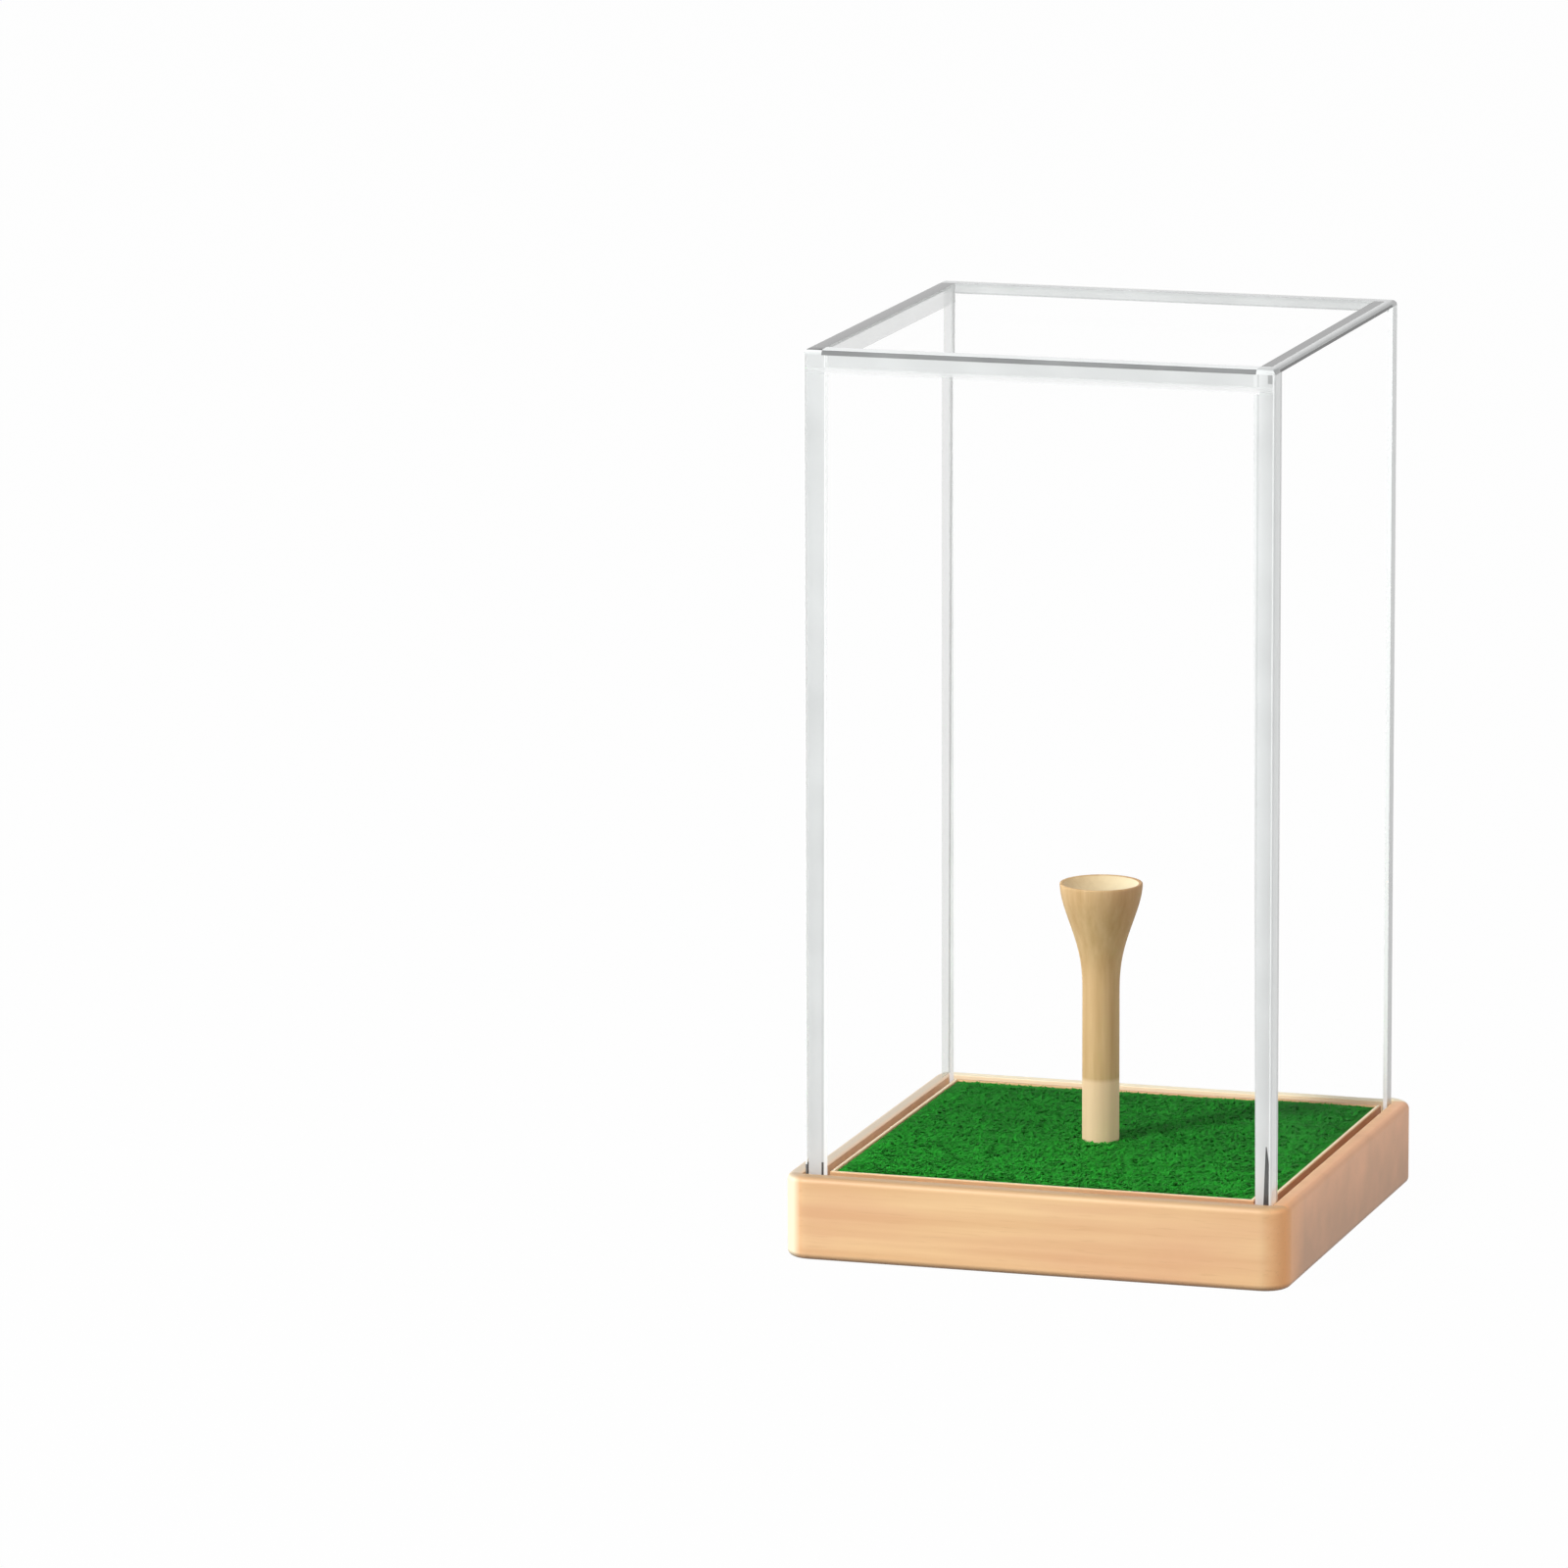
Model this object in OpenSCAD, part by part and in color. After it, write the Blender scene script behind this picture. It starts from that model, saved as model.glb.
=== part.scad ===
// A display case for one golf ball. A square wooden base carries a mat of artificial turf and a wooden
// tee. A clear cover of five bonded acrylic sheets stands in a groove in the base and lifts straight off.
// Millimetres, +Z up. The origin is the middle of the underside of the base.

/* [Base] */
// Width and depth of the square base
base_w = 80; // [70:1:140]
// Height of the base
base_h = 13; // [12:0.5:30]
// Radius of the upright corners
corner_r = 4.2; // [2.5:0.1:5.5]
// Radius of the rounded top and bottom edges
edge_r = 1; // [0.3:0.1:1.5]
// Width of the outer rim, from the side of the base to the groove
rim_w = 2.7; // [2.2:0.05:8]

/* [Groove and rib] */
// Depth of the groove that takes the cover
groove_d = 3; // [2:0.1:4]
// Clearance between the cover and each wall of the groove
groove_gap = 0.3; // [0.2:0.05:0.8]
// Thickness of the rib that stands between the groove and the turf
rib_w = 0.65; // [0.6:0.05:2.5]

/* [Cover] */
// Thickness of the acrylic sheet
sheet_t = 3; // [2:0.1:5]
// Height of the cover, from its open rim to its top
cover_h = 131; // [100:1:260]

/* [Turf] */
// Thickness of the backing that holds the strands
backing_t = 1.2; // [0.8:0.1:2]
// Length of the strands above the backing
pile_h = 2.1; // [1.2:0.1:3]
// Height that the strands stand above the rim
pile_proud = 0.3; // [0:0.05:0.6]
// Clearance between the mat and the wall of its recess
turf_gap = 0.1; // [0.05:0.05:0.3]
// Spacing of the strands
strand_pitch = 3.2; // [2.8:0.1:6]
// Width of a strand at its root
strand_w = 1.7; // [1:0.1:1.8]
// Thickness of a strand at its root
strand_t = 0.9; // [0.5:0.1:1.4]
// Furthest that the tip of a strand leans from its root
strand_lean = 0.8; // [0:0.1:0.9]

/* [Tee] */
// Overall length of the tee
tee_len = 50; // [35:1:80]
// Diameter across the head
head_d = 12.9; // [10:0.1:16]
// Diameter of the shank
shank_d = 5.8; // [4:0.1:7]
// Length of the flared head
flare_h = 17.4; // [8:0.1:20]
// Depth of the dish that takes the ball
dish_d = 2.2; // [1:0.1:3]
// Width of the lip around the dish
lip_w = 0.5; // [0.3:0.1:1.5]
// Depth that the shank goes into the wood
tee_seat = 6.4; // [4:0.1:7]
// Clearance around the shank in the wood
tee_gap = 0.05; // [0.02:0.01:0.1]
// Clearance around the shank in the turf
turf_hole_gap = 0.1; // [0.05:0.05:0.3]

/* [Hidden] */

wood_colour = [0.93, 0.77, 0.58];
turf_colour = [0.16, 0.47, 0.17];
tee_colour = [0.84, 0.70, 0.48];
acrylic_colour = [0.88, 0.92, 0.94, 0.35];

// How far a cut runs past the face that it opens through
past = 1;

// Plan sizes, worked inwards from the side of the base
groove_outer_w = base_w - 2 * rim_w;
cover_w = groove_outer_w - 2 * groove_gap;
cover_in_w = cover_w - 2 * sheet_t;
rib_outer_w = cover_in_w - 2 * groove_gap;
recess_w = rib_outer_w - 2 * rib_w;
turf_w = recess_w - 2 * turf_gap;

// Heights
recess_d = backing_t + pile_h - pile_proud;
recess_z = base_h - recess_d;
groove_z = base_h - groove_d;
tee_z = recess_z - tee_seat;

// The strands stand in a square grid of cells, an even number a side, so that four cells meet at the tee
cells = 2 * max(1, floor(turf_w / 2 / strand_pitch));
cell_w = turf_w / cells;
turf_hole_r = shank_d / 2 + turf_hole_gap;
jitter = 0.06 * cell_w;
swing = 35;
seed = 7;
shift_x = rands(-jitter, jitter, cells * cells, seed);
shift_y = rands(-jitter, jitter, cells * cells, seed + 1);
turned = rands(-swing, swing, cells * cells, seed + 2);
heading = rands(0, 360, cells * cells, seed + 3);
lean = rands(strand_lean / 3, strand_lean, cells * cells, seed + 4);
height = rands(0.75 * pile_h, pile_h, cells * cells, seed + 5);

// A block with rounded upright corners and rounded top and bottom edges
module rounded_block(w, h, r, edge) {
    hull()
        for (sx = [-1, 1], sy = [-1, 1])
            translate([sx * (w / 2 - r), sy * (w / 2 - r), 0])
                rounded_disc(h, r, edge);
}

// A disc with rounded edges, which is one corner of the block
module rounded_disc(h, r, edge) {
    rotate_extrude($fn = 48)
        polygon(concat(
            [[0, 0]],
            [for (a = [0 : 18 : 90]) [r - edge + edge * sin(a), edge - edge * cos(a)]],
            [for (a = [0 : 18 : 90]) [r - edge + edge * cos(a), h - edge + edge * sin(a)]],
            [[0, h]]
        ));
}

// An upright square prism centred on the axis
module square_prism(w, h) {
    translate([-w / 2, -w / 2, 0])
        cube([w, w, h]);
}

// The wooden base: groove for the cover, recess for the turf and blind hole for the tee
module base_block() {
    color(wood_colour)
        difference() {
            rounded_block(base_w, base_h, corner_r, edge_r);
            translate([0, 0, groove_z])
                difference() {
                    square_prism(groove_outer_w, groove_d + past);
                    translate([0, 0, -past])
                        square_prism(rib_outer_w, groove_d + 3 * past);
                }
            translate([0, 0, recess_z])
                square_prism(recess_w, recess_d + past);
            translate([0, 0, tee_z])
                cylinder(r = shank_d / 2 + tee_gap, h = tee_seat + past, $fn = 64);
        }
}

// Corner of the grid of cells, on the top of the backing
function grid_point(i, j) = [i * cell_w - turf_w / 2, j * cell_w - turf_w / 2, backing_t];

// Root of the strand in a cell: a flat rhombus, with its long way along one diagonal of the cell or the other
function root_point(i, j, side) =
    let (
        k = j * cells + i,
        along = (i + j + side) % 2 == 0,
        reach = (along ? strand_w : strand_t) / 2,
        angle = 225 + 90 * side + turned[k],
        x = (i + 0.5) * cell_w - turf_w / 2 + shift_x[k],
        y = (j + 0.5) * cell_w - turf_w / 2 + shift_y[k]
    )
    [x + reach * cos(angle), y + reach * sin(angle), backing_t];

// Tip of the strand in a cell
function tip_point(i, j) =
    let (
        k = j * cells + i,
        x = (i + 0.5) * cell_w - turf_w / 2 + shift_x[k],
        y = (j + 0.5) * cell_w - turf_w / 2 + shift_y[k]
    )
    [x + lean[k] * cos(heading[k]), y + lean[k] * sin(heading[k]), backing_t + height[k]];

// A cell at the tee holds no strand
function is_bare(i, j) =
    norm([(i + 0.5) * cell_w - turf_w / 2, (j + 0.5) * cell_w - turf_w / 2]) < turf_hole_r + cell_w / 2;

// The mat: strands and backing as one closed surface, with a hole for the tee
module turf_mat() {
    side_points = cells + 1;
    grid = [for (j = [0 : cells], i = [0 : cells]) grid_point(i, j)];
    strands = [
        for (j = [0 : cells - 1], i = [0 : cells - 1])
            each [for (side = [0 : 3]) root_point(i, j, side), tip_point(i, j)]
    ];
    under = [for (y = [-1, 1], x = [-1, 1]) [x * turf_w / 2, y * turf_w / 2, 0]];
    first_strand = len(grid);
    first_under = first_strand + len(strands);

    cell_faces = [
        for (j = [0 : cells - 1], i = [0 : cells - 1])
            let (
                a = j * side_points + i,
                ring = [a, a + 1, a + side_points + 1, a + side_points],
                s = first_strand + 5 * (j * cells + i)
            )
            each is_bare(i, j)
                ? [[ring[0], ring[2], ring[1]], [ring[0], ring[3], ring[2]]]
                : [
                    for (side = [0 : 3])
                        let (next = (side + 1) % 4)
                        each [
                            [ring[side], s + side, ring[next]],
                            [ring[next], s + side, s + next],
                            [s + side, s + 4, s + next]
                        ]
                ]
    ];

    // Each side wall is a fan from its lower corner up to the edge of the grid
    front = [for (i = [0 : cells]) i];
    right = [for (j = [0 : cells]) j * side_points + cells];
    back = [for (i = [0 : cells]) cells * side_points + cells - i];
    left = [for (j = [0 : cells]) (cells - j) * side_points];
    feet = [first_under, first_under + 1, first_under + 3, first_under + 2];
    walls = [front, right, back, left];
    wall_faces = [
        for (w = [0 : 3])
            let (foot = feet[w], next_foot = feet[(w + 1) % 4])
            each concat(
                [for (k = [0 : cells - 1]) [foot, walls[w][k], walls[w][k + 1]]],
                [[foot, walls[w][cells], next_foot]]
            )
    ];
    under_faces = [[feet[0], feet[1], feet[2]], [feet[0], feet[2], feet[3]]];

    color(turf_colour)
        translate([0, 0, recess_z])
            difference() {
                polyhedron(concat(grid, strands, under), concat(cell_faces, wall_faces, under_faces));
                translate([0, 0, -past])
                    cylinder(r = turf_hole_r, h = backing_t + pile_h + 2 * past, $fn = 64);
            }
}

// Radius of the tee at a share of the way up its flare: a slow start at the neck and a full, upright rim
function flare_r(share) =
    let (s = pow(share, 1.35), rise = s * s * (3 - 2 * s))
    shank_d / 2 + (head_d - shank_d) / 2 * rise;

// The turned tee, with its head flared from the shank and dished for the ball
module tee() {
    steps = 20;
    foot_bevel = 0.4;
    dish_r = head_d / 2 - lip_w;
    ball_r = (dish_r * dish_r + dish_d * dish_d) / (2 * dish_d);
    color(tee_colour)
        translate([0, 0, tee_z])
            difference() {
                rotate_extrude($fn = 64)
                    polygon(concat(
                        [[0, 0], [shank_d / 2 - foot_bevel, 0], [shank_d / 2, foot_bevel]],
                        [for (k = [0 : steps]) [flare_r(k / steps), tee_len - flare_h * (1 - k / steps)]],
                        [[0, tee_len]]
                    ));
                translate([0, 0, tee_len - dish_d + ball_r])
                    sphere(r = ball_r, $fn = 64);
            }
}

// An upright sheet of the cover, centred on the axis: w across X, d across Y, standing in the groove
module upright_sheet(w, d) {
    translate([-w / 2, -d / 2, groove_z])
        cube([w, d, cover_h]);
}

// The side sheets stand between the front and back sheets
module left_panel() {
    color(acrylic_colour)
        translate([-(cover_w - sheet_t) / 2, 0, 0])
            upright_sheet(sheet_t, cover_in_w);
}

module right_panel() {
    color(acrylic_colour)
        translate([(cover_w - sheet_t) / 2, 0, 0])
            upright_sheet(sheet_t, cover_in_w);
}

// The front and back sheets run the full width of the cover
module front_panel() {
    color(acrylic_colour)
        translate([0, -(cover_w - sheet_t) / 2, 0])
            upright_sheet(cover_w, sheet_t);
}

module back_panel() {
    color(acrylic_colour)
        translate([0, (cover_w - sheet_t) / 2, 0])
            upright_sheet(cover_w, sheet_t);
}

// The top sheet lies between the four walls, level with their upper edges
module top_panel() {
    color(acrylic_colour)
        translate([0, 0, groove_z + cover_h - sheet_t])
            square_prism(cover_in_w, sheet_t);
}

base_block();
turf_mat();
tee();
left_panel();
right_panel();
front_panel();
back_panel();
top_panel();
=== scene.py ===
"""The looks of a golf ball display case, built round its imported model. Metres, +Z up, front towards -Y."""
import math
import random

import bmesh
import bpy
from mathutils import Matrix, Vector


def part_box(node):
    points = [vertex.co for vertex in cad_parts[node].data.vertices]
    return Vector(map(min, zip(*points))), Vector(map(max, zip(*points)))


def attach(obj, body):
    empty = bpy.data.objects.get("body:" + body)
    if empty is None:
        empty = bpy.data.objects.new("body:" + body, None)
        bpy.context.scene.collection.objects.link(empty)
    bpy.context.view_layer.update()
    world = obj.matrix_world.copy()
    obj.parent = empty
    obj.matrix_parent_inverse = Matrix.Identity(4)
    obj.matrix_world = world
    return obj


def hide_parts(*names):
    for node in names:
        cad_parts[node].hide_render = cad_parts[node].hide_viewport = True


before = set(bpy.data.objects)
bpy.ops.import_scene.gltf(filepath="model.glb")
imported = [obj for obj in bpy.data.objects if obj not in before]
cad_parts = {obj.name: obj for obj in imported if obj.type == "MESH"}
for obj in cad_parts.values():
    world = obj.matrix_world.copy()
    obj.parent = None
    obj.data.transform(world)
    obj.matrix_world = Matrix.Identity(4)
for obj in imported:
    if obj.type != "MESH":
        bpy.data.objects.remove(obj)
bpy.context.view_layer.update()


# Wooden base
# One block of solid beech. The upright corners and the edges are rounded with a router, and the groove for
# the cover, the recess for the turf and the hole for the tee are milled from above. Sanded, satin lacquer.
mm = 0.001
base_low, base_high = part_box("base_block")
side_low, side_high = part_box("right_panel")
turf_low, turf_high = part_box("turf_mat")
tee_low, tee_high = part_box("tee")
groove_gap = 0.3 * mm
turf_gap = 0.1 * mm
corner_radius = 4.2 * mm
corner_steps = 12
edge_radius = 1.0 * mm
edge_steps = 5
arris_radius = 0.16 * mm
arris_steps = 2
shank_radius = 2.9 * mm
shank_gap = 0.05 * mm
hole_sides = 48
groove_outer = side_high.x + groove_gap
rib_outer = side_low.x - groove_gap
rib_width = rib_outer - turf_high.x - turf_gap


def block(low, high):
    """A box between two corners."""
    bm = bmesh.new()
    bmesh.ops.create_cube(bm, size=1)
    bmesh.ops.scale(bm, vec=high - low, verts=bm.verts)
    bmesh.ops.translate(bm, vec=(low + high) / 2, verts=bm.verts)
    return bm


def round_edges(bm, edges, radius, steps):
    """Rounds these edges."""
    bmesh.ops.bevel(
        bm, geom=list(edges), offset=radius, offset_type="OFFSET", segments=steps, profile=0.5,
        affect="EDGES", clamp_overlap=True, material=-1,
    )


def raise_face(bm, face, height):
    """Draws a face out of the block by a height, or sinks it where the height is negative."""
    face = bmesh.ops.extrude_discrete_faces(bm, faces=[face])["faces"][0]
    bmesh.ops.translate(bm, vec=(0, 0, height), verts=face.verts)
    return face


def middle(edge):
    """The middle of an edge."""
    return (edge.verts[0].co + edge.verts[1].co) / 2


def show(bm, name, material, body, node, sharp=35):
    """Makes the finished piece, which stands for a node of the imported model."""
    bmesh.ops.recalc_face_normals(bm, faces=bm.faces)
    mesh = bpy.data.meshes.new(name)
    bm.to_mesh(mesh)
    bm.free()
    mesh.shade_smooth()
    mesh.set_sharp_from_angle(angle=math.radians(sharp))
    mesh.materials.append(material)
    piece = bpy.data.objects.new(name, mesh)
    bpy.context.scene.collection.objects.link(piece)
    weighted = piece.modifiers.new("weighted_normals", "WEIGHTED_NORMAL")
    weighted.keep_sharp = True
    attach(piece, body)
    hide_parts(node)
    return piece


def linear(code):
    """A colour that is written as sRGB hex, in linear light with an alpha of 1."""
    parts = [int(code[k : k + 2], 16) / 255 for k in (1, 3, 5)]
    return tuple(p / 12.92 if p <= 0.04045 else ((p + 0.055) / 1.055) ** 2.4 for p in parts) + (1.0,)


def add_node(tree, kind, values=(), links=(), **settings):
    """Adds a node with its settings, the values of its sockets and the links into them."""
    node = tree.nodes.new(kind)
    for name, value in settings.items():
        setattr(node, name, value)
    for socket, value in dict(values).items():
        node.inputs[socket].default_value = value
    for socket, source in dict(links).items():
        tree.links.new(source, node.inputs[socket])
    return node


def new_material(name):
    """An empty material, and its tree."""
    material = bpy.data.materials.new(name)
    material.use_nodes = True
    material.node_tree.nodes.clear()
    return material, material.node_tree


# Lacquered beech: warm tan with faint long streaks, short darker flecks and pinker clouds. The two faces
# across the fibres show end grain, which is browner, mottled and more orange towards the front, and painted
# shade darkens it towards the foot. Painted shade also browns the groove at the rib and darkens the top of
# the front rim and the lowest edge. Painted highlights make the left and back rims, the rib and the front
# left corner cream. A satin shine.
beech, tree = new_material("lacquered_beech")
place = add_node(tree, "ShaderNodeTexCoord").outputs["Object"]
figure = {}
for name, along_mm, across_mm in (("streak", 60.0, 1.8), ("fleck", 6.0, 0.4), ("cloud", 42.0, 10.0)):
    stretched = add_node(
        tree, "ShaderNodeMapping", links={"Vector": place},
        values={"Scale": (1 / (along_mm * mm), 1 / (across_mm * mm), 1 / (across_mm * mm))},
    )
    figure[name] = add_node(
        tree, "ShaderNodeTexNoise", values={"Scale": 1.0, "Detail": 2.0, "Roughness": 0.5},
        links={"Vector": stretched.outputs["Vector"]},
    ).outputs["Fac"]
apart = add_node(tree, "ShaderNodeSeparateXYZ", links={"Vector": place})
outward = add_node(tree, "ShaderNodeMath", operation="ABSOLUTE", links={0: apart.outputs["X"]})
side, level = base_high.x, base_high.z
share = {
    name: add_node(tree, "ShaderNodeAttribute", attribute_name=name).outputs["Fac"]
    for name in ("painted_rib_shade", "painted_light")
}
# Each look, what it follows, where that starts and is full, and the share that the look then has
for name, source, start, full, most in (
    ("streak", figure["streak"], 0.3, 0.7, 1.0),
    ("cloud", figure["cloud"], 0.48, 0.68, 0.55),
    ("fleck", figure["fleck"], 0.58, 0.75, 0.16),
    ("end_grain", outward.outputs[0], side - 3.6 * mm, side - 0.6 * mm, 1.0),
    ("near_front", apart.outputs["Y"], 12 * mm - side, 2 * mm - side, 0.8),
    ("front_corner", apart.outputs["Y"], 10 * mm - side, 4 * mm - side, 1.0),
    ("left", apart.outputs["X"], 0.4 * mm - groove_outer, -0.9 * mm - groove_outer, 0.95),
    ("left_rim", apart.outputs["X"], 0.4 * mm - groove_outer, 0.2 * mm - groove_outer, 1.0),
    ("front_rim", apart.outputs["Y"], 0.4 * mm - groove_outer, 0.2 * mm - groove_outer, 0.55),
    ("back", apart.outputs["Y"], groove_outer - 0.7 * mm, groove_outer + 0.1 * mm, 0.9),
    ("top", apart.outputs["Z"], level - 0.5 * mm, level - 0.05 * mm, 1.0),
    # Painted shade along the lowest edge
    ("foot", apart.outputs["Z"], 1.1 * mm, 0.3 * mm, 0.8),
):
    share[name] = add_node(
        tree, "ShaderNodeMapRange", values={"From Min": start, "From Max": full, "To Max": most},
        links={"Value": source},
    ).outputs[0]
for name, operation, first, second in (
    # Painted highlights in cream on the left rim and front left corner, on the back rim and on the rib
    ("left_edge", "MAXIMUM", "top", "front_corner"),
    ("left_cream", "MULTIPLY", "left", "left_edge"),
    ("back_cream", "MULTIPLY", "back", "top"),
    ("edge_cream", "MAXIMUM", "left_cream", "back_cream"),
    ("cream", "MAXIMUM", "edge_cream", "painted_light"),
    ("grey_cream", "MULTIPLY", "top", "left_rim"),
    # Painted shade on the top of the front rim
    ("painted_rim_shade", "MULTIPLY", "top", "front_rim"),
):
    share[name] = add_node(
        tree, "ShaderNodeMath", operation=operation, links={0: share[first], 1: share[second]},
    ).outputs[0]
# Painted shade: the end grain darkens towards the foot
painted_low_shade = add_node(
    tree, "ShaderNodeMapRange", links={"Value": apart.outputs["Z"]},
    values={"From Min": 13 * mm, "From Max": 1 * mm, "To Min": -0.8, "To Max": 0.2},
)
mottling = 1.6
mottled = add_node(
    tree, "ShaderNodeMath", operation="MULTIPLY_ADD", values={1: mottling},
    links={0: figure["cloud"], 2: painted_low_shade.outputs[0]},
)
end_grain = add_node(
    tree, "ShaderNodeMix", data_type="RGBA", links={"Factor": mottled.outputs[0]},
    values={6: linear("#F0B285"), 7: linear("#CB9870")},
)
warmer_end = add_node(
    tree, "ShaderNodeMix", data_type="RGBA", values={7: linear("#F8B272")},
    links={6: end_grain.outputs[2], "Factor": share["near_front"]},
)
# The colour of the painted highlights: cream, greyer on the top of the left rim
cream = add_node(
    tree, "ShaderNodeMix", data_type="RGBA", links={"Factor": share["grey_cream"]},
    values={6: linear("#FBF0D0"), 7: linear("#D6C7B0")},
)
colour = add_node(
    tree, "ShaderNodeMix", data_type="RGBA", links={"Factor": share["streak"]},
    values={6: linear("#F2CC9A"), 7: linear("#E4B786")},
).outputs[2]
# The other colours lie over the streaks, from the lowest to the uppermost
# Of these, the brown at the rib, the dull rim colour and the dark foot are painted shade, and the cream a
# painted highlight
for name, tint in (
    ("cloud", "#E0A983"), ("end_grain", warmer_end), ("fleck", "#B98358"), ("painted_rib_shade", "#9A5838"),
    ("cream", cream), ("painted_rim_shade", "#B0906A"), ("foot", "#7E5A3A"),
):
    laid = add_node(tree, "ShaderNodeMix", data_type="RGBA", links={6: colour, "Factor": share[name]})
    if isinstance(tint, str):
        laid.inputs[7].default_value = linear(tint)
    else:
        tree.links.new(tint.outputs[2], laid.inputs[7])
    colour = laid.outputs[2]
wood = add_node(
    tree, "ShaderNodeBsdfPrincipled", values={"Roughness": 0.45, "IOR": 1.5}, links={"Base Color": colour},
)
add_node(tree, "ShaderNodeOutputMaterial", links={"Surface": wood.outputs[0]})

bm = block(base_low, base_high)
upright = [e for e in bm.edges if abs(e.verts[0].co.z - e.verts[1].co.z) > mm]
round_edges(bm, upright, corner_radius, corner_steps)
rims = [e for e in bm.edges if abs(e.verts[0].co.z - e.verts[1].co.z) < mm / 10]
round_edges(bm, rims, edge_radius, edge_steps)
top = max(bm.faces, key=lambda f: (round(f.calc_center_median().z, 6), f.calc_area()))
outline = list(top.edges)
bmesh.ops.delete(bm, geom=[top], context="FACES_ONLY")
square = bmesh.ops.create_grid(bm, x_segments=1, y_segments=1, size=groove_outer)["verts"]
bmesh.ops.translate(bm, vec=(0, 0, base_high.z), verts=square)
face = square[0].link_faces[0]
bmesh.ops.triangle_fill(bm, edges=outline + list(face.edges), use_beauty=True, normal=(0, 0, 1))
groove_depth = base_high.z - side_low.z
recess_depth = base_high.z - turf_low.z
face = raise_face(bm, face, -groove_depth)
bmesh.ops.inset_region(bm, faces=[face], thickness=groove_outer - rib_outer, use_even_offset=True)
face = raise_face(bm, face, groove_depth)
bmesh.ops.inset_region(bm, faces=[face], thickness=rib_width, use_even_offset=True)
face = raise_face(bm, face, -recess_depth)
floor_edges = list(face.edges)
bmesh.ops.delete(bm, geom=[face], context="FACES_ONLY")
hole_radius = shank_radius + shank_gap
ring = bmesh.ops.create_circle(bm, cap_ends=True, segments=hole_sides, radius=hole_radius)["verts"]
bmesh.ops.translate(bm, vec=(0, 0, turf_low.z), verts=ring)
face = ring[0].link_faces[0]
bmesh.ops.triangle_fill(bm, edges=floor_edges + list(face.edges), use_beauty=True, normal=(0, 0, 1))
raise_face(bm, face, tee_low.z - turf_low.z)
reach = groove_outer + mm / 10
arrises = [
    e for e in bm.edges
    if abs(e.calc_face_angle(0) - math.pi / 2) < 0.1 and abs(middle(e).z - base_high.z) < mm / 10
    and max(abs(middle(e).x), abs(middle(e).y)) < reach
]
round_edges(bm, arrises, arris_radius, arris_steps)
# How much painted shade darkens the floor and the rib's wall of the groove and the top of the rib at the
# back, and how much painted light makes the outer wall of the groove and the rest of the rib top paler. Less
# than a hair between two places counts as none.
rib_shade_of = bm.faces.layers.float.new("painted_rib_shade")
painted_light_of = bm.faces.layers.float.new("painted_light")
hair = mm / 100
for face in bm.faces:
    spot = face.calc_center_median()
    out = max(abs(spot.x), abs(spot.y))
    across_fibres = abs(spot.x) > abs(spot.y)
    behind = spot.y > abs(spot.x)
    in_groove = rib_outer - hair < out < groove_outer + hair and mm < spot.z < base_high.z - arris_radius
    if in_groove and out > groove_outer - hair:
        face[painted_light_of] = 0.3 if across_fibres and spot.x < 0 else 0.8 if behind else 0.0
    elif in_groove:
        face[rib_shade_of] = 0.8 if across_fibres else 0.25
    if spot.z > base_high.z - hair and turf_high.x < out < rib_outer:
        face[rib_shade_of], face[painted_light_of] = (0.5, 0.0) if behind else (0.0, 0.75)
show(bm, "wooden_base", beech, "base", "base_block")


# Turf mat
# A square of short artificial grass: flat plastic strands tufted close together in a backing, cut short.
# It is glued in the recess of the base, with a hole for the tee.
packed_height = 2.7 * mm
turf_hole = shank_radius + 0.1 * mm
strand_count = 34000
strand_length = 1.9 * mm
shortest, longest = 0.75, 1.1
strand_width = 0.4 * mm
least_lean_deg, most_lean_deg = 66, 86
cut_edge = 2.4 * mm
sunk_root = 0.1 * mm
bend_run, bend_rise = 0.35, 0.62
# Polyethylene strands: mid green, each a little lighter or darker than the next, with drifts where the pile
# was brushed, and painted shade that darkens them towards the back. A dull shine.
turf, tree = new_material("polyethylene_turf")
shade = add_node(tree, "ShaderNodeAttribute", attribute_name="strand_shade").outputs["Fac"]
place = add_node(tree, "ShaderNodeTexCoord").outputs["Object"]
drift_width, drift_depth = 8.0 * mm, 2.2 * mm
brushed = add_node(
    tree, "ShaderNodeMapping", links={"Vector": place},
    values={"Scale": (1 / drift_width, 1 / drift_depth, 1 / drift_width)},
)
drift = add_node(
    tree, "ShaderNodeTexNoise", values={"Scale": 1.0, "Detail": 2.0},
    links={"Vector": brushed.outputs["Vector"]},
)
drift_share = add_node(
    tree, "ShaderNodeMapRange", values={"From Min": 0.35, "From Max": 0.65},
    links={"Value": drift.outputs["Fac"]},
)
both_shades = add_node(
    tree, "ShaderNodeMix", values={"Factor": 0.7}, links={"A": shade, "B": drift_share.outputs[0]},
    data_type="FLOAT",
)
green = add_node(
    tree, "ShaderNodeMix", data_type="RGBA", links={"Factor": both_shades.outputs[0]},
    values={6: linear("#0A8014"), 7: linear("#20A428")},
)
depth = add_node(tree, "ShaderNodeSeparateXYZ", links={"Vector": place})
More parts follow.
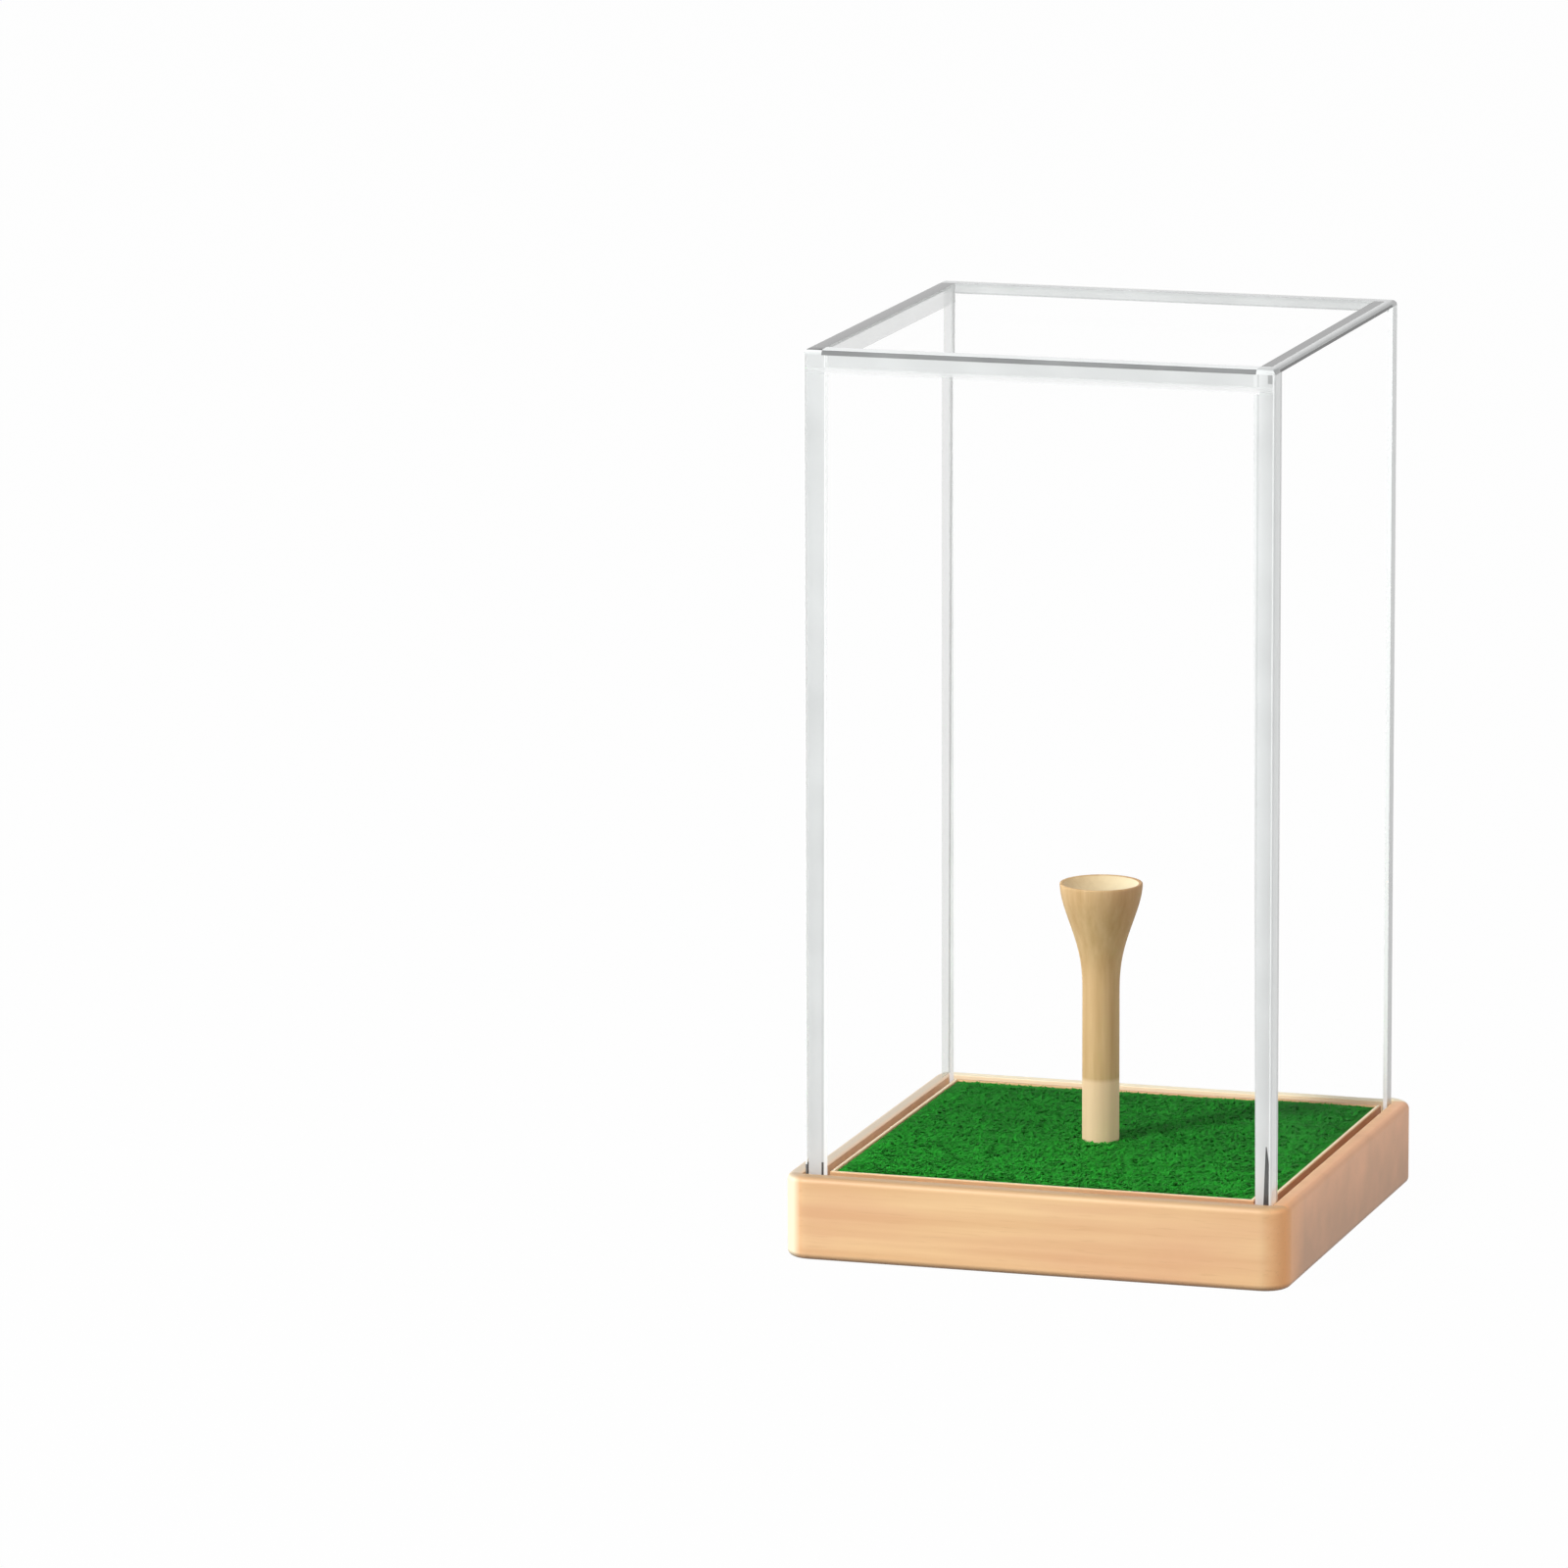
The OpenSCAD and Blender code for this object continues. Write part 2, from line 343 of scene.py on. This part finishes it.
# Painted shade towards the back
far_share = add_node(
    tree, "ShaderNodeMapRange", values={"From Min": -20 * mm, "From Max": 33 * mm, "To Max": 0.5},
    links={"Value": depth.outputs["Y"]},
)
painted_back_shade = add_node(
    tree, "ShaderNodeMix", data_type="RGBA", values={7: linear("#0B6A14")},
    links={6: green.outputs[2], "Factor": far_share.outputs[0]},
)
strands = add_node(
    tree, "ShaderNodeBsdfPrincipled", values={"Roughness": 0.8, "IOR": 1.5, "Specular IOR Level": 0.25},
    links={"Base Color": painted_back_shade.outputs[2]},
)
add_node(tree, "ShaderNodeOutputMaterial", links={"Surface": strands.outputs[0]})

bm = block(turf_low, Vector((turf_high.x, turf_high.y, turf_low.z + packed_height)))
tone_of = bm.faces.layers.float.new("strand_shade")
chance = random.Random(11)
root_z = turf_low.z + packed_height
edge = turf_high.x
for k in range(strand_count):
    x, y = chance.uniform(-edge, edge), chance.uniform(-edge, edge)
    if math.hypot(x, y) < turf_hole:
        continue
    heading = chance.uniform(0, math.tau)
    lean = math.radians(chance.uniform(least_lean_deg, most_lean_deg))
    length = strand_length * chance.uniform(shortest, longest)
    near_edge = min(1, 0.1 + (edge - max(abs(x), abs(y))) / cut_edge)
    rise = min(length * math.cos(lean), turf_high.z - root_z) * near_edge
    run = length * math.sin(lean)
    across = Vector((-math.sin(heading), math.cos(heading), 0)) * strand_width / 2
    along = Vector((math.cos(heading), math.sin(heading), 0))
    root = Vector((x, y, root_z - sunk_root))
    bend = root + along * run * bend_run + Vector((0, 0, rise * bend_rise))
    tip = root + along * run + Vector((0, 0, rise))
    tip.x = max(-edge, min(edge, tip.x))
    tip.y = max(-edge, min(edge, tip.y))
    outline = (root - across, root + across, bend + across, bend - across, tip)
    points = [bm.verts.new(p) for p in outline]
    tone = chance.random()
    for corners in ((0, 1, 2, 3), (3, 2, 4)):
        bm.faces.new([points[c] for c in corners])[tone_of] = tone
show(bm, "turf_strands_and_backing", turf, "base", "turf_mat", sharp=180)


# Tee
# One wooden tee, turned from a pale dowel: straight shank, flared head and a dish for the ball. Sanded and
# left bare. The shank is glued in the hole of the base.
head_radius = tee_high.x
flare_height = 17.4 * mm
flare_delay = 1.35
dish_depth = 2.2 * mm
lip_width = 0.5 * mm
lip_radius = 0.15 * mm
lip_steps = 3
foot_bevel = 0.4 * mm
flare_steps = 36
dish_steps = 14
turning_steps = 72
# Bare birch: pale straw with fine upright fibres. Painted shade makes it browner towards the right, and
# painted light makes it creamier in the dish and on the lowest centimetre in sight. Little shine. The fibres
# are drawn coarser than real ones, so that they show.
tee_wood, tree = new_material("turned_birch")
place = add_node(tree, "ShaderNodeTexCoord").outputs["Object"]
fibre_width, fibre_length = 1.3 * mm, 22.0 * mm
stretched = add_node(
    tree, "ShaderNodeMapping", links={"Vector": place},
    values={"Scale": (1 / fibre_width, 1 / fibre_width, 1 / fibre_length)},
)
fibres = add_node(
    tree, "ShaderNodeTexNoise", values={"Scale": 1.0, "Detail": 3.0, "Roughness": 0.6},
    links={"Vector": stretched.outputs["Vector"]},
)
apart = add_node(tree, "ShaderNodeSeparateXYZ", links={"Vector": place})
share = {"dish": add_node(tree, "ShaderNodeAttribute", attribute_name="in_dish").outputs["Fac"]}
for name, source, start, full, most in (
    ("fibre", fibres.outputs["Fac"], 0.35, 0.7, 1.0),
    # Painted shade on the right side, and painted light on the lowest centimetre in sight
    ("painted_shade_side", apart.outputs["X"], 0.5 * mm, 5.5 * mm, 0.4),
    ("foot", apart.outputs["Z"], 23.0 * mm, 22.3 * mm, 0.55),
):
    share[name] = add_node(
        tree, "ShaderNodeMapRange", values={"From Min": start, "From Max": full, "To Max": most},
        links={"Value": source},
    ).outputs[0]
colour = add_node(
    tree, "ShaderNodeMix", data_type="RGBA", links={"Factor": share["fibre"]},
    values={6: linear("#D8B685"), 7: linear("#C8A26E")},
).outputs[2]
for name, tint in (("painted_shade_side", "#A2683C"), ("dish", "#F3E8C4"), ("foot", "#FFE0BC")):
    colour = add_node(
        tree, "ShaderNodeMix", data_type="RGBA", values={7: linear(tint)},
        links={6: colour, "Factor": share[name]},
    ).outputs[2]
bare = add_node(
    tree, "ShaderNodeBsdfPrincipled", values={"Roughness": 0.6, "IOR": 1.5}, links={"Base Color": colour},
)
add_node(tree, "ShaderNodeOutputMaterial", links={"Surface": bare.outputs[0]})


def flare_radius(part):
    """Radius of the tee at a part of the way up its flare."""
    s = part ** flare_delay
    return shank_radius + (head_radius - shank_radius) * s * s * (3 - 2 * s)


dish_radius = head_radius - lip_width
ball_radius = (dish_radius ** 2 + dish_depth ** 2) / (2 * dish_depth)
dish_angle = math.asin(dish_radius / ball_radius)
profile = [(0, tee_low.z), (shank_radius - foot_bevel, tee_low.z), (shank_radius, tee_low.z + foot_bevel)]
for k in range(flare_steps + 1):
    part = k / flare_steps
    profile.append((flare_radius(part), tee_high.z - flare_height * (1 - part)))
for k in range(dish_steps + 1):
    angle = dish_angle * (1 - k / dish_steps)
    dip = dish_depth - ball_radius * (1 - math.cos(angle))
    profile.append((ball_radius * math.sin(angle), tee_high.z - dip))
bm = bmesh.new()
points = [bm.verts.new((r, 0, z)) for r, z in profile]
line = [bm.edges.new(pair) for pair in zip(points, points[1:])]
bmesh.ops.spin(
    bm, geom=points + line, cent=(0, 0, 0), axis=(0, 0, 1), angle=math.tau, steps=turning_steps,
    use_merge=True,
)
bmesh.ops.remove_doubles(bm, verts=bm.verts, dist=0.001 * mm)
lip = [
    e for e in bm.edges
    if all(abs(v.co.z - tee_high.z) < 0.01 * mm for v in e.verts)
    and abs(e.verts[0].co.xy.length - e.verts[1].co.xy.length) < 0.01 * mm
]
round_edges(bm, lip, lip_radius, lip_steps)
# The dish is creamier towards the right, where the lamp reaches it
dish_of = bm.faces.layers.float.new("in_dish")
for face in bm.faces:
    spot = face.calc_center_median()
    if spot.z > tee_high.z - dish_depth - 0.1 * mm and spot.xy.length < dish_radius - 0.2 * mm:
        face[dish_of] = 0.6 + 0.4 * spot.x / dish_radius
show(bm, "turned_tee", tee_wood, "base", "tee", sharp=60)


# Cover
# Five sheets of clear cast acrylic with polished edges, bonded with solvent: the front and back run the full
# width, the sides stand between them, and the top is let in level with the walls. It stands in the groove.
arris_width = 0.35 * mm
crest_width = 0.8 * mm
bevel_steps = 3
joint_gap = 0.02 * mm
joint_line = 0.35 * mm
cement_reach = 1.1 * mm
back_cement_depth = 1.6 * mm
back_line_width = 0.25 * mm
seam_width = 0.9 * mm
light_strip = 1.3 * mm
dark_foot = 12 * mm
acrylic_index = 1.49
shine_share = 0.008


def sheet_material(name, see_through, gloss=0.5):
    """Acrylic: a share of it shows the grey of a cut edge or of dried cement, and the rest is clear."""
    material, tree = new_material(name)
    grey = add_node(tree, "ShaderNodeAttribute", attribute_name="edge_grey").outputs["Fac"]
    grey_share = add_node(tree, "ShaderNodeAttribute", attribute_name="edge_share").outputs["Fac"]
    uneven_mm, uneven_by = 9.0, 0.16
    uneven = add_node(
        tree, "ShaderNodeTexNoise", values={"Scale": 1 / (uneven_mm * mm), "Detail": 1.0},
        links={"Vector": add_node(tree, "ShaderNodeTexCoord").outputs["Object"]},
    )
    depth = add_node(
        tree, "ShaderNodeMath", operation="MULTIPLY_ADD", values={1: uneven_by},
        links={0: uneven.outputs["Fac"], 2: grey},
    )
    tint = add_node(
        tree, "ShaderNodeMix", data_type="RGBA", links={"Factor": depth.outputs[0]},
        values={6: linear("#F9FCFC"), 7: linear("#1E1E20")},
    )
    polished = add_node(
        tree, "ShaderNodeBsdfPrincipled", links={"Base Color": tint.outputs[2]},
        values={"Roughness": 0.1, "IOR": acrylic_index, "Specular IOR Level": gloss},
    )
    mirrored = add_node(tree, "ShaderNodeFresnel", values={"IOR": acrylic_index})
    mirror_share = add_node(
        tree, "ShaderNodeMath", values={1: shine_share}, links={0: mirrored.outputs[0]}, operation="MULTIPLY",
    )
    shine = add_node(tree, "ShaderNodeBsdfGlossy", values={"Color": (1, 1, 1, 1), "Roughness": 0.03})
    shining = add_node(
        tree, "ShaderNodeMixShader",
        links={0: mirror_share.outputs[0], 1: add_node(tree, *see_through).outputs[0], 2: shine.outputs[0]},
    )
    seen = add_node(
        tree, "ShaderNodeMixShader", links={0: grey_share, 1: shining.outputs[0], 2: polished.outputs[0]},
    )
    path = add_node(tree, "ShaderNodeLightPath")
    passing = add_node(
        tree, "ShaderNodeMath", operation="MAXIMUM",
        links={0: path.outputs["Is Shadow Ray"], 1: path.outputs["Is Diffuse Ray"]},
    )
    straight = add_node(tree, "ShaderNodeBsdfTransparent", values={"Color": (1, 1, 1, 1)})
    both = add_node(
        tree, "ShaderNodeMixShader",
        links={0: passing.outputs[0], 1: seen.outputs[0], 2: straight.outputs[0]},
    )
    add_node(tree, "ShaderNodeOutputMaterial", links={"Surface": both.outputs[0]})
    return material


# Clear cast acrylic in the walls: colourless, and it bends the view as sheet does. Lamps and bounced light go
# straight through every part of the cover, so that the turf and the tee keep their light.
bending = ("ShaderNodeBsdfRefraction", {"Color": (1, 1, 1, 1), "Roughness": 0.0, "IOR": acrylic_index})
straight_on = ("ShaderNodeBsdfTransparent", {"Color": (1, 1, 1, 1)})
wall_clear = sheet_material("clear_cast_acrylic_wall", bending)
# The same acrylic in the top sheet, which shows the joints round it without bending them.
top_clear = sheet_material("clear_cast_acrylic_top", straight_on)
# The same acrylic at its cut edges, where the whole width of the sheet lies behind the surface: polished,
# light to dark grey and glossy. Where it is bonded, the solvent lets part of the view through.
edged = sheet_material("polished_acrylic_edge", straight_on)
# The same acrylic at an end that is seen from inside the sheet, so without gloss.
inner_end = sheet_material("acrylic_end_from_inside", straight_on, gloss=0.0)

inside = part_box("top_panel")[1].x
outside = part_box("front_panel")[1].x
top_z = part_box("top_panel")[1].z
under_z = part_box("top_panel")[0].z
foot_z = base_high.z + 1.4 * mm
# Where dried cement and the depth of the edges show, as lines that slant a little, and where a streak of
# painted reflection from the shaded groove lies. Each is given by how far from the middle of the cover it
# stands, in mm: first at the height of the base, then at the top of the cover, or for the streak at its own
# top.
post_lines = {"far": (27.3, 27.7), "dark": (30.9, 32.5), "near": (31.9, 33.8)}
left_line = (-34.6, -34.1)
left_creep = (-34.6, -33.4)
right_creep = (34.0, 33.1)
streak_lines = {"left": (35.3, 35.6), "right": (37.0, 35.75)}
streak_top = base_high.z + 8.5 * mm
# A darker spot near the top of the front end of the right sheet
dark_spot_left, dark_spot_right = inside + 1.3 * mm, inside + 2.0 * mm
dark_spot_low, dark_spot_high = top_z - 2.5 * mm, top_z - 0.9 * mm


def line_at(ends, z, upper_z):
    """Where a slanting line stands at a height."""
    return (ends[0] + (ends[1] - ends[0]) * (z - base_high.z) / (upper_z - base_high.z)) * mm


# Each look below is a grey, from near white at 0 or less to near black at 1, and the share of the surface
# that shows it. At a share of 0 the acrylic is clear.
clear = (0.0, 0.0)


def top_sheet_look(way, normal, centre, left):
    """The edges of the top sheet, which are bonded to the walls: cement fills the upper part at the back."""
    if way == 0:
        return 0.1, 0.5 if left else 0.0
    if normal.y < 0:
        return 0.2, 1.0
    if centre.z > top_z - back_cement_depth + back_line_width:
        return 0.25, 0.9
    return (0.36, 0.9) if centre.z > top_z - back_cement_depth else clear


def left_end_look(centre, spot):
    """The front end of the left sheet: white inside a dark line and grey outside it."""
    line = line_at(left_line, centre.z, top_z)
    if centre.x > line:
        return -0.1, 1.0
    if centre.x < line - joint_line:
        return 0.2, 1.0
    # Below the foot, the line is a painted dark reflection
    return (0.85 if centre.z < foot_z else 0.3 - 0.12 * spot.z / top_z), 1.0


def right_end_look(centre, spot):
    """The front end of the right sheet: darker outwards, a painted reflection at the foot and a darker spot
    at the top.
    """
    if dark_spot_low < centre.z < dark_spot_high and dark_spot_left < centre.x < dark_spot_right:
        return 0.5, 1.0
    from_left, to_right = (line_at(streak_lines[n], centre.z, streak_top) for n in ("left", "right"))
    # The streak at the foot is a painted reflection of the shaded groove
    if centre.z < streak_top and from_left < centre.x < to_right:
        return 0.85, 1.0
    return 0.13 + 0.18 * (spot.x - inside) / (outside - inside), 1.0


def upper_edge_look(name, centre):
    """The flat upper edge of a wall."""
    if name == "front":
        return (1.0 if centre.x < -inside else 0.3 if centre.x > inside else 0.0), 1.0
    if name == "right":
        return (1.0 if abs(centre.x) < outside - light_strip else 0.3), 1.0
    return (1.0 if name == "left" else 0.4), 1.0


def crest_look(name, normal, centre):
    """The three narrow faces that round the upper edge of a wall off to the outside."""
    # Lighter and darker faces by the way they turn: a painted highlight and painted dark reflections
    if name == "front" and abs(normal.y) > 0.1:
        if abs(centre.x) < inside:
            return 0.68, 1.0
        return (0.18 if normal.z < 0.6 and centre.x < 0 else 0.06), 1.0
    if name == "left":
        return (1.0 if normal.z > 0.8 else 0.1), 1.0
    if name == "right":
        return (0.2 if normal.z > 0.8 else 0.4 if normal.z > 0.5 else 1.0), 1.0
    return 0.5, 1.0


def edge_look(name, way, normal, centre, spot):
    """The look of a face of a cut edge at one of its corners."""
    left = spot.x < 0
    if name == "top":
        return top_sheet_look(way, normal, centre, left)
    if way == 1 and name in ("left", "right"):
        if normal.y < 0:
            return left_end_look(centre, spot) if left else right_end_look(centre, spot)
        return (0.1 if left else -0.1), 1.0
    if normal.z > 0.9:
        return upper_edge_look(name, centre)
    if normal.z > 0.1 and centre.z > top_z - crest_width:
        return crest_look(name, normal, centre)
    if name == "back" and way == 0 and not left:
        return 0.02 + 0.25 * max(0, 1 - (spot.z - base_high.z) / dark_foot), 1.0
    if name == "front" and left:
        # A painted dark reflection at the foot
        if centre.z < foot_z:
            return 0.8, 1.0
        return (-0.16, 0.5) if normal.x < -0.99 else (0.02, 1.0)
    return -0.08, 1.0


def wall_look(name, centre, spot):
    """The look of a broad face of a wall: clear, but for the cement that has dried beside the joints."""
    if name == "front":
        if under_z - cement_reach < centre.z < under_z:
            return 0.15, 0.9 if spot.z > under_z - hair else 0.0
        if line_at(right_creep, centre.z, top_z) < centre.x < inside:
            return (0.22 if centre.x > inside - joint_line else 0.05), 0.9
        if -inside < centre.x < line_at(left_creep, centre.z, top_z):
            return 0.1, 0.6
    if name == "right" and centre.x > outside - mm / 10:
        return 0.16 + 0.16 * (1 - centre.z / top_z), 0.9 if centre.y < seam_width - inside else 0.0
    if name == "left" and centre.z > foot_z:
        far, dark, near = (line_at(post_lines[n], centre.z, top_z) for n in ("far", "dark", "near"))
        if far < centre.y < near:
            return (0.1, 0.9) if centre.y > dark else (0.0, 0.45)
    return clear


def marking_cuts(name):
    """Planes, each by a point and its normal, that part the faces of a sheet where its look changes."""
    places = {
        "front": {
            "x": (-inside, inside, inside - joint_line), "z": (under_z - cement_reach, under_z, foot_z),
        },
        "top": {"z": (top_z - back_cement_depth, top_z - back_cement_depth + back_line_width)},
        "left": {"z": (foot_z,)},
        "right": {
            "x": (dark_spot_left, outside - light_strip, dark_spot_right), "y": (seam_width - inside,),
            "z": (streak_top, dark_spot_low, dark_spot_high, top_z / 2),
        },
    }.get(name, {})
    planes = []
    for axis, spots in places.items():
        way = Vector([float(axis == other) for other in "xyz"])
        planes += [(way * spot, way) for spot in spots]
    slants = []
    if name == "front":
        slants = [(0, left_creep, top_z), (0, right_creep, top_z)]
    if name == "left":
        slants = [(0, left_line, top_z), (0, [x - joint_line / mm for x in left_line], top_z)]
        slants += [(1, ends, top_z) for ends in post_lines.values()]
    if name == "right":
        slants = [(0, ends, streak_top) for ends in streak_lines.values()]
    for k, ends, upper_z in slants:
        point, across = Vector((0, 0, base_high.z)), Vector((0, 0, (ends[0] - ends[1]) * mm))
        point[k], across[k] = ends[0] * mm, upper_z - base_high.z
        planes.append((point, across.normalized()))
    return planes


for name in ("left", "right", "front", "back", "top"):
    low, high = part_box(name + "_panel")
    thin = min(range(3), key=lambda k: high[k] - low[k])
    joined = {"left": (1,), "right": (1,), "top": (0, 1)}.get(name, ())
    for k in joined:
        low[k], high[k] = low[k] + joint_gap, high[k] - joint_gap
    bm = block(low, high)
    crest = [
        e for e in bm.edges
        if middle(e).z > top_z - hair and max(abs(middle(e).x), abs(middle(e).y)) > outside - hair
    ]
    round_edges(bm, crest, crest_width, bevel_steps)
    feet_and_corners = [
        e for e in bm.edges
        if name != "top" and all(max(abs(low[k]), abs(high[k])) - abs(middle(e)[k]) > hair for k in joined)
        and (middle(e).z < low.z + hair or min(abs(middle(e).x), abs(middle(e).y)) > outside - hair)
    ]
    round_edges(bm, feet_and_corners, arris_width, bevel_steps)
    for point, across in marking_cuts(name):
        everything = bm.verts[:] + bm.edges[:] + bm.faces[:]
        bmesh.ops.bisect_plane(bm, geom=everything, plane_co=point, plane_no=across)
    bm.normal_update()
    grey_of = bm.loops.layers.float.new("edge_grey")
    share_of = bm.loops.layers.float.new("edge_share")
    for face in bm.faces:
        way = max(range(3), key=lambda k: abs(face.normal[k]))
        centre = face.calc_center_median()
        broad = way == thin and abs(face.normal[way]) > 0.999
        cemented = broad and (name == "right" or face.normal[way] * centre[way] < 0)
        from_inside = name == "front" and face.normal.x < -0.99
        face.material_index = 0 if broad else 2 if from_inside else 1
        for loop in face.loops:
            spot = loop.vert.co
            if cemented:
                loop[grey_of], loop[share_of] = wall_look(name, centre, spot)
            elif not broad:
                loop[grey_of], loop[share_of] = edge_look(name, way, face.normal, centre, spot)
    acrylic = top_clear if name == "top" else wall_clear
    sheet = show(bm, name + "_sheet", acrylic, "cover", name + "_panel")
    for material in (edged, inner_end):
        sheet.data.materials.append(material)


# Floor
# A plain matt white studio table. The camera sees it as white, with the soft shadow of the case.
table_reach = 4.0
seen_white = 0.985
floor_paint, tree = new_material("matt_white_table")
path = add_node(tree, "ShaderNodeLightPath")
matt = add_node(tree, "ShaderNodeBsdfDiffuse", values={"Color": linear("#BABAB8")})
white = add_node(tree, "ShaderNodeEmission", values={"Color": (1, 1, 1, 1), "Strength": 1.0})
sight = add_node(
    tree, "ShaderNodeMath", values={1: seen_white}, operation="MULTIPLY",
    links={0: add_node(
        tree, "ShaderNodeMath", operation="MAXIMUM",
        links={0: path.outputs["Is Camera Ray"], 1: add_node(
            tree, "ShaderNodeMath", operation="MAXIMUM",
            links={0: path.outputs["Is Glossy Ray"], 1: path.outputs["Is Transmission Ray"]},
        ).outputs[0]},
    ).outputs[0]},
)
mixed = add_node(
    tree, "ShaderNodeMixShader", links={0: sight.outputs[0], 1: matt.outputs[0], 2: white.outputs[0]},
)
add_node(tree, "ShaderNodeOutputMaterial", links={"Surface": mixed.outputs[0]})
bm = bmesh.new()
bmesh.ops.create_grid(bm, x_segments=1, y_segments=1, size=table_reach)
mesh = bpy.data.meshes.new("studio_table")
bm.to_mesh(mesh)
bm.free()
mesh.materials.append(floor_paint)
table = bpy.data.objects.new("studio_table", mesh)
bpy.context.scene.collection.objects.link(table)


# Light
# A pale room all round, which the camera sees as white, one soft lamp high on the front left, and two weaker
# and wider ones low on the left and on the right.
world = bpy.data.worlds.new("pale_studio")
bpy.context.scene.world = world
world.use_nodes = True
tree = world.node_tree
tree.nodes.clear()
path = add_node(tree, "ShaderNodeLightPath")
seen = add_node(
    tree, "ShaderNodeMath", operation="MAXIMUM",
    links={0: path.outputs["Is Camera Ray"], 1: add_node(
        tree, "ShaderNodeMath", operation="MAXIMUM",
        links={0: path.outputs["Is Glossy Ray"], 1: path.outputs["Is Transmission Ray"]},
    ).outputs[0]},
)
height = add_node(
    tree, "ShaderNodeSeparateXYZ",
    links={"Vector": add_node(tree, "ShaderNodeTexCoord").outputs["Generated"]},
)
room_level, room_above = 0.66, 0.22
room_light = add_node(
    tree, "ShaderNodeMapRange", values={"To Min": room_level, "To Max": room_above},
    links={"Value": height.outputs["Z"]},
)
strength = add_node(
    tree, "ShaderNodeMapRange", values={"To Max": 1.0},
    links={"Value": seen.outputs[0], "To Min": room_light.outputs[0]},
)
room = add_node(
    tree, "ShaderNodeBackground", values={"Color": (1, 1, 1, 1)}, links={"Strength": strength.outputs[0]},
)
add_node(tree, "ShaderNodeOutputWorld", links={"Surface": room.outputs[0]})

lamp_distance = 1.3
for name, part, away, width in (
    ("front_left_lamp", 0.7, (-0.46, -0.61, 0.64), 0.2),
    ("left_strip_lamp", 0.22, (-0.95, -0.25, 0.18), 0.5),
    ("right_fill_lamp", 0.15, (0.85, -0.35, 0.3), 0.6),
):
    away = Vector(away).normalized()
    lamp = bpy.data.lights.new(name, "AREA")
    lamp.shape = "DISK"
    lamp.size = width
    lamp.energy = part * math.pi ** 2 * lamp_distance ** 2
    lamp_object = bpy.data.objects.new(name, lamp)
    lamp_object.location = away * lamp_distance
    lamp_object.rotation_mode = "QUATERNION"
    lamp_object.rotation_quaternion = away.to_track_quat("Z", "Y")
    bpy.context.scene.collection.objects.link(lamp_object)


# Camera
# A long lens from the front right, a little above, turned slightly about its own axis.
image_px = 1600
focal_px = 10908.2
back_m, left_m, up_m = 1.66848, 0.049434, 0.067855
camera = bpy.data.cameras.new("photo_camera")
camera.sensor_width = 36
camera.lens = focal_px / image_px * camera.sensor_width
turn = math.radians(17.530)
rise = math.radians(11.167)
roll = math.radians(0.212)
back = Vector((math.sin(turn) * math.cos(rise), -math.cos(turn) * math.cos(rise), math.sin(rise)))
right = Vector((math.cos(turn), math.sin(turn), 0))
up = back.cross(right)
place = back * back_m - right * left_m + up * up_m
rolled_right = right * math.cos(roll) - up * math.sin(roll)
rolled_up = right * math.sin(roll) + up * math.cos(roll)
camera_object = bpy.data.objects.new("photo_camera", camera)
facing = Matrix((rolled_right, rolled_up, back)).transposed().to_4x4()
camera_object.matrix_world = Matrix.Translation(place) @ facing
bpy.context.scene.collection.objects.link(camera_object)
bpy.context.scene.camera = camera_object

bpy.context.scene.view_settings.view_transform = "Standard"
bpy.context.scene.cycles.transparent_max_bounces = 32
